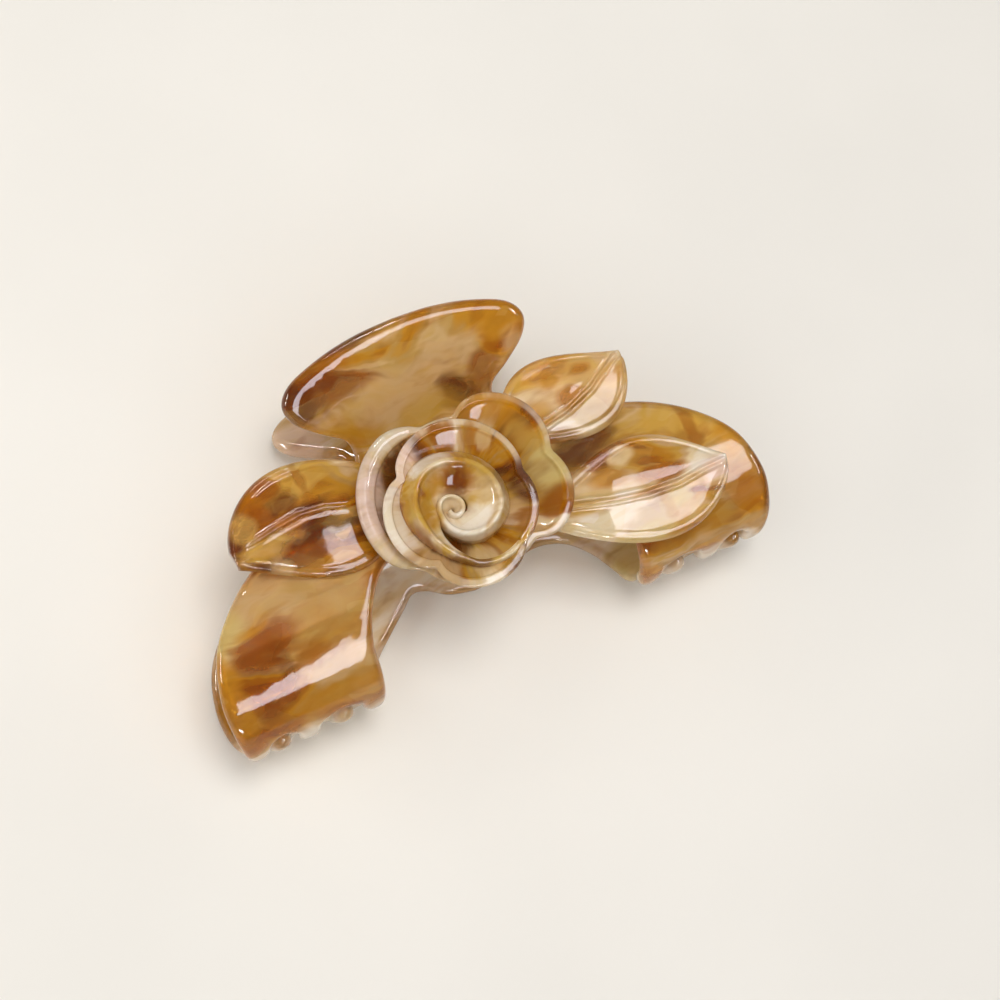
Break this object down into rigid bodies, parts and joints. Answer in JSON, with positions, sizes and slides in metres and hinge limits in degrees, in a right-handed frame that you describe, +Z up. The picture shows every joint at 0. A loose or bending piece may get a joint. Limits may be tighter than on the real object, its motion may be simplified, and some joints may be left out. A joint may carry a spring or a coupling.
{
  "type": "flower claw hair clip",
  "caption": "Claw hair clip in marbled acetate: two sprung jaws with curved teeth, and a rose with leaves on the front jaw.",
  "frame": {"origin": "on the table under the middle of the clip's bounding box, the clip lying on its back jaw with the rose up", "axes": "+X along the hinge pin towards the right wing seen from the front, +Y from the teeth to the thumb paddles, +Z up out of the table"},
  "size_m": [0.105, 0.0604, 0.0401],
  "materials": {
    "jaw_acetate": "polished acetate, marbled amber, dark brown and cream",
    "rose_acetate": "polished acetate, marbled amber, red-brown and olive",
    "bud_acetate": "polished acetate, cream with brown streaks",
    "leaf_acetate": "polished acetate, marbled cream, olive gold and amber",
    "steel": "bright drawn wire and pin"
  },
  "bodies": {
    "back": {"back_jaw": "jaw_acetate", "back_lug_left": "jaw_acetate", "back_lug_right": "jaw_acetate", "hinge_pin": "steel", "torsion_spring": "steel"},
    "front": {"front_jaw": "jaw_acetate", "front_lug_left": "jaw_acetate", "front_lug_right": "jaw_acetate", "rose_outer_petals": "rose_acetate", "rose_middle_petals": "rose_acetate", "rose_bud": "bud_acetate", "leaf_left": "leaf_acetate", "leaf_upper_right": "leaf_acetate", "leaf_lower_right": "leaf_acetate"}
  },
  "joints": [
    {"name": "jaw_hinge", "type": "hinge", "parent": "back", "child": "front", "pos_m": [0, 0.0083, 0.01592], "axis": [-1, 0, 0], "range_deg": [0, 60], "stiffness_Nm_per_rad": 0.05, "springref_deg": -20.05, "deforming": ["torsion_spring"]}
  ]
}
